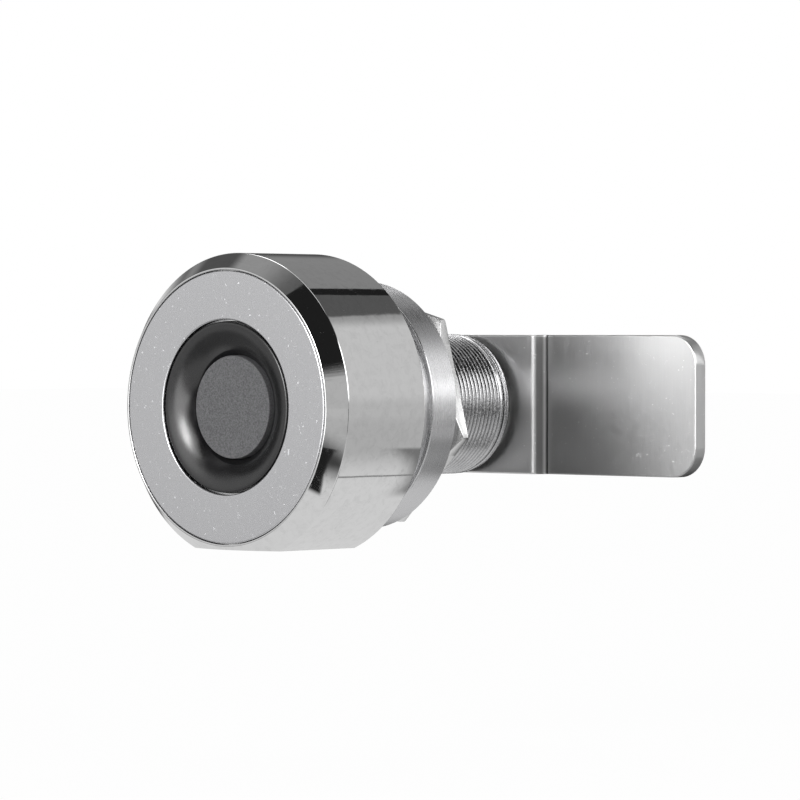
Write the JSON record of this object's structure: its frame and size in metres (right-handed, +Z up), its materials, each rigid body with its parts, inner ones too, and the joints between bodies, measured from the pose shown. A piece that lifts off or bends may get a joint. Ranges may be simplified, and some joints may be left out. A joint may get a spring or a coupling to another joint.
{
  "type": "fingerprint cam lock",
  "caption": "Cabinet cam lock with a round chrome knob, fingerprint pad in its face, threaded barrel, hex nut and cranked steel cam.",
  "frame": {"origin": "on the lock's axis, in the plane of the collar's rear face, where the panel's front face sits", "axes": "+Y along the axis from the face to the rear, +Z up, +X the way the cam reaches at rest"},
  "size_m": [0.0592, 0.054, 0.0385],
  "materials": {
    "head_chrome": "polished chrome plating on a die-cast zinc head",
    "face_satin": "satin face ring with straight fine brushing and bright edges",
    "bezel_black": "black dish with a soft sheen",
    "sensor_grey": "matte coating with a fine speckle",
    "collar_zinc": "nickel-plated zinc, collar brushed round its axis, fine thread behind",
    "nut_zinc": "bright zinc plating over a turned bevel, slightly grainy",
    "cam_steel": "stamped steel plate with fine upright grain and light scratches",
    "washer_steel": "bright zinc-plated washers",
    "screw_steel": "zinc-plated steel fasteners and pins",
    "spindle_zinc": "turned and nickel-plated",
    "bush_bronze": "sintered bronze",
    "dark_acetal": "dark low-friction plastic",
    "base_zinc": "die-cast alloy, satin",
    "frame_plastic": "moulded black plastic",
    "board_green": "solder-masked circuit board",
    "cell_wrap": "shrink-wrapped lithium cell",
    "socket_steel": "stamped bright socket shell with a dark tongue",
    "can_steel": "drawn steel can",
    "rotor_copper": "enamelled copper windings",
    "lead_brass": "turned brass",
    "spring_steel": "spring wire",
    "pin_steel": "hardened steel, ground"
  },
  "bodies": {
    "fixed_body": {"lock_body": "collar_zinc", "thrust_washer": "dark_acetal", "retaining_pins": "screw_steel", "front_bush": "bush_bronze", "rear_bush": "bush_bronze", "rear_shim": "washer_steel"},
    "nut": {"hex_nut": "nut_zinc"},
    "knob": {"head_housing": "head_chrome", "face_ring": "face_satin", "sensor_bezel": "bezel_black", "fingerprint_sensor": "sensor_grey", "sensor_board": "board_green", "inner_frame": "frame_plastic", "battery": "cell_wrap", "main_board": "board_green", "usb_socket": "socket_steel", "motor_can": "can_steel", "base_plate": "base_zinc", "base_screws": "screw_steel", "stop_pin": "screw_steel"},
    "drive": {"motor_rotor": "rotor_copper", "drive_screw": "lead_brass"},
    "clutch": {"drive_nut": "lead_brass", "clutch_spring": "spring_steel", "clutch_pin": "pin_steel"},
    "cam": {"spindle": "spindle_zinc", "cam_plate": "cam_steel", "cam_washer": "washer_steel", "lock_washer": "washer_steel", "cam_screw": "screw_steel"}
  },
  "joints": [
    {"name": "knob_turn", "type": "hinge", "parent": "fixed_body", "child": "knob", "pos_m": [0, 0, 0], "axis": [0, 1, 0], "range_deg": [0, 90]},
    {"name": "cam_turn", "type": "hinge", "parent": "fixed_body", "child": "cam", "pos_m": [0, 0, 0], "axis": [0, 1, 0], "range_deg": [0, 90]},
    {"name": "drive_spin", "type": "hinge", "parent": "knob", "child": "drive", "pos_m": [0, 0, 0], "axis": [0, 1, 0], "range_deg": [0, 1440]},
    {"name": "clutch_slide", "type": "slide", "parent": "knob", "child": "clutch", "axis": [0, 1, 0], "range_m": [0, 0.002]},
    {"name": "nut_travel", "type": "slide", "parent": "fixed_body", "child": "nut", "axis": [0, 1, 0], "range_m": [0, 0.0138]}
  ],
  "couplings": [
    {"joint": "cam_turn", "follows": "knob_turn", "ratio": 1},
    {"joint": "drive_spin", "follows": "clutch_slide", "rad_per_m": 12566}
  ]
}
